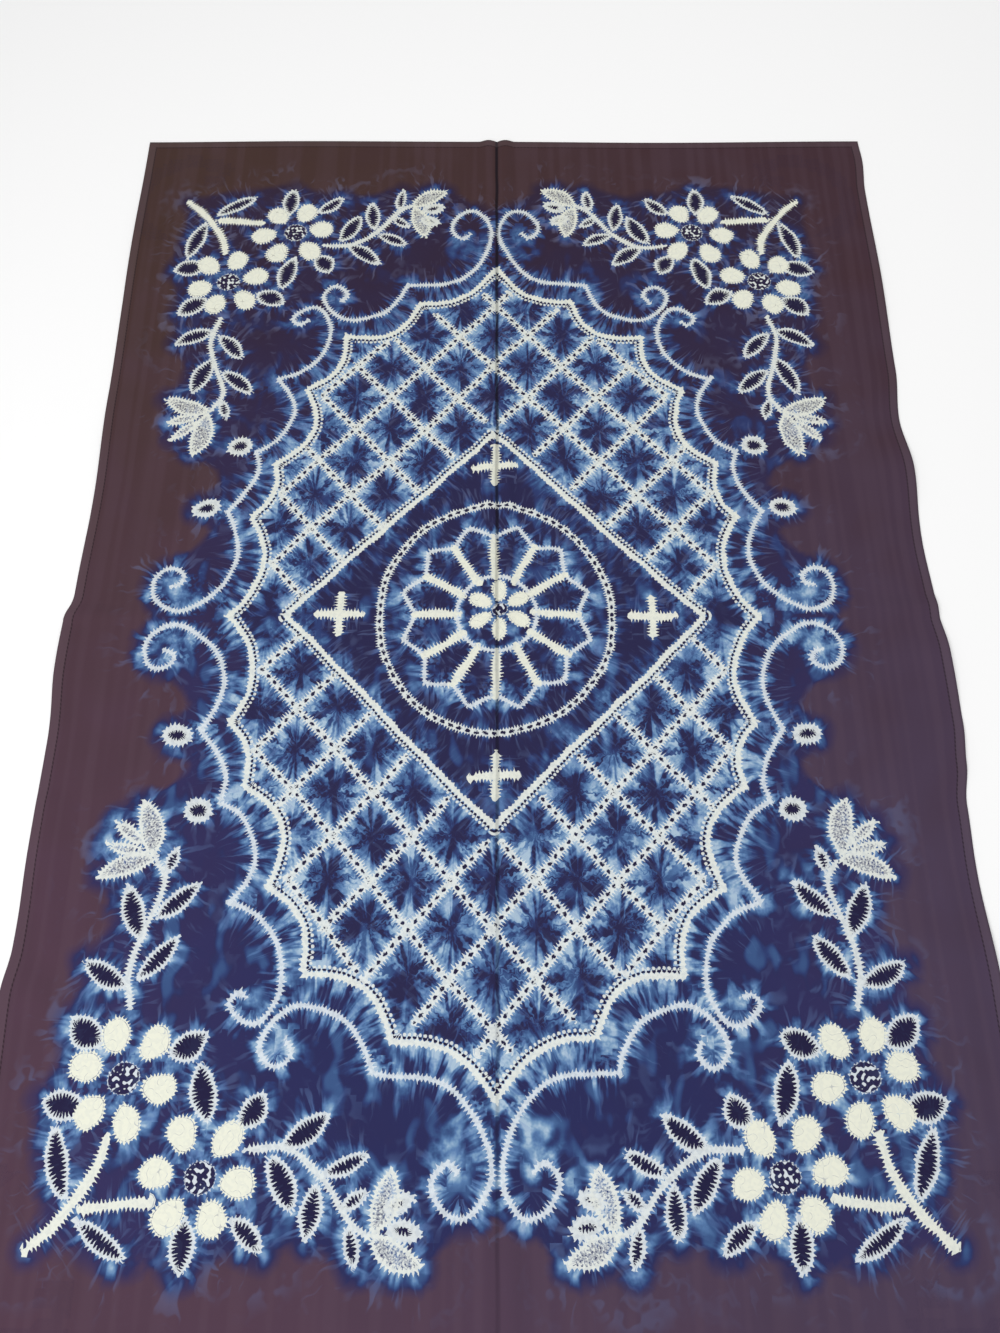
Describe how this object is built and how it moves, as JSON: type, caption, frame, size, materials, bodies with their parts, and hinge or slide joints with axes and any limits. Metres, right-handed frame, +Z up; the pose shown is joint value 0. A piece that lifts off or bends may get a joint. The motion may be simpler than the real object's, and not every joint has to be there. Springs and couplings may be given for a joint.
{
  "type": "tie-dye tablecloth",
  "caption": "Rectangular hemmed cotton cloth laid out flat, with a stitched-resist indigo pattern, for covering a table.",
  "frame": {"origin": "middle of the cloth's box, on the surface that it lies on", "axes": "+X across the cloth, +Y along it from the near end to the far end, +Z up through its face"},
  "size_m": [1.1056, 1.6034, 0.0071],
  "materials": {
    "indigo_cotton": "plain-woven cotton, stitch-resist dyed in indigo, matt"
  },
  "bodies": {
    "root": {"cloth": "indigo_cotton"}
  },
  "joints": []
}
